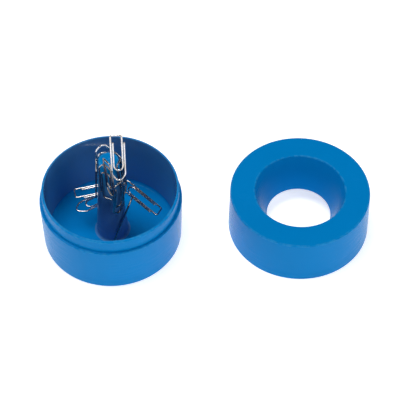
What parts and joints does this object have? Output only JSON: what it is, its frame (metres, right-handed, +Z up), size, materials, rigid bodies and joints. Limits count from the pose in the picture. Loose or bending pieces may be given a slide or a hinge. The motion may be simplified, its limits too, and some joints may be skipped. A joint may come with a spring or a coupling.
{
  "type": "magnetic paper clip holder",
  "caption": "Round stepped plastic cup with a tall magnetic centre post that wire paper clips cling to, and a ring-shaped funnel lid standing beside it.",
  "frame": {"origin": "centre of the cup's underside, on the surface it stands on", "axes": "+X from the cup's axis to the lid's axis, +Z up along the cup's axis, +Y away from the person in front"},
  "size_m": [0.1729, 0.0742, 0.0777],
  "materials": {
    "cup_plastic": "satin",
    "post_plastic": "satin",
    "lid_plastic": "satin",
    "plug_plastic": "matte",
    "ferrite": "matte",
    "clip_wire": "polished"
  },
  "bodies": {
    "holder": {"base_cup": "cup_plastic", "centre_post": "post_plastic", "post_magnet_1": "ferrite", "post_magnet_2": "ferrite", "post_magnet_3": "ferrite", "post_plug": "plug_plastic"},
    "lid": {"funnel_lid": "lid_plastic"},
    "clip_01": {"paper_clip_01": "clip_wire"},
    "clip_02": {"paper_clip_02": "clip_wire"},
    "clip_03": {"paper_clip_03": "clip_wire"},
    "clip_04": {"paper_clip_04": "clip_wire"},
    "clip_05": {"paper_clip_05": "clip_wire"},
    "clip_06": {"paper_clip_06": "clip_wire"},
    "clip_07": {"paper_clip_07": "clip_wire"},
    "clip_08": {"paper_clip_08": "clip_wire"},
    "clip_09": {"paper_clip_09": "clip_wire"},
    "clip_10": {"paper_clip_10": "clip_wire"},
    "clip_11": {"paper_clip_11": "clip_wire"},
    "clip_12": {"paper_clip_12": "clip_wire"}
  },
  "joints": [
    {"name": "lid_lift", "type": "slide", "parent": "holder", "child": "lid", "axis": [0, 0, 1], "range_m": [0, 0.06]},
    {"name": "clip_01_pull", "type": "slide", "parent": "holder", "child": "clip_01", "axis": [0.766, 0, 0.6428], "range_m": [0, 0.04]},
    {"name": "clip_02_pull", "type": "slide", "parent": "holder", "child": "clip_02", "axis": [0.342, 0, 0.9397], "range_m": [0, 0.04]},
    {"name": "clip_03_pull", "type": "slide", "parent": "holder", "child": "clip_03", "axis": [-0.25, 0.433, 0.866], "range_m": [0, 0.04]},
    {"name": "clip_04_pull", "type": "slide", "parent": "holder", "child": "clip_04", "axis": [-0.433, 0.75, 0.5], "range_m": [0, 0.014]},
    {"name": "clip_05_pull", "type": "slide", "parent": "holder", "child": "clip_05", "axis": [-0.25, 0.433, 0.866], "range_m": [0, 0.04]},
    {"name": "clip_06_pull", "type": "slide", "parent": "holder", "child": "clip_06", "axis": [-0.5, 0, 0.866], "range_m": [0, 0.04]},
    {"name": "clip_07_pull", "type": "slide", "parent": "holder", "child": "clip_07", "axis": [-0.0616, 0.0616, 0.9962], "range_m": [0, 0.04]},
    {"name": "clip_08_pull", "type": "slide", "parent": "holder", "child": "clip_08", "axis": [0, -0.5, 0.866], "range_m": [0, 0.04]},
    {"name": "clip_09_pull", "type": "slide", "parent": "holder", "child": "clip_09", "axis": [0.1294, 0.483, 0.866], "range_m": [0, 0.04]},
    {"name": "clip_10_pull", "type": "slide", "parent": "holder", "child": "clip_10", "axis": [0.383, -0.6634, 0.6428], "range_m": [0, 0.04]},
    {"name": "clip_11_pull", "type": "slide", "parent": "holder", "child": "clip_11", "axis": [0.25, -0.433, 0.866], "range_m": [0, 0.04]},
    {"name": "clip_12_pull", "type": "slide", "parent": "holder", "child": "clip_12", "axis": [0.75, 0.433, 0.5], "range_m": [0, 0.04]}
  ]
}
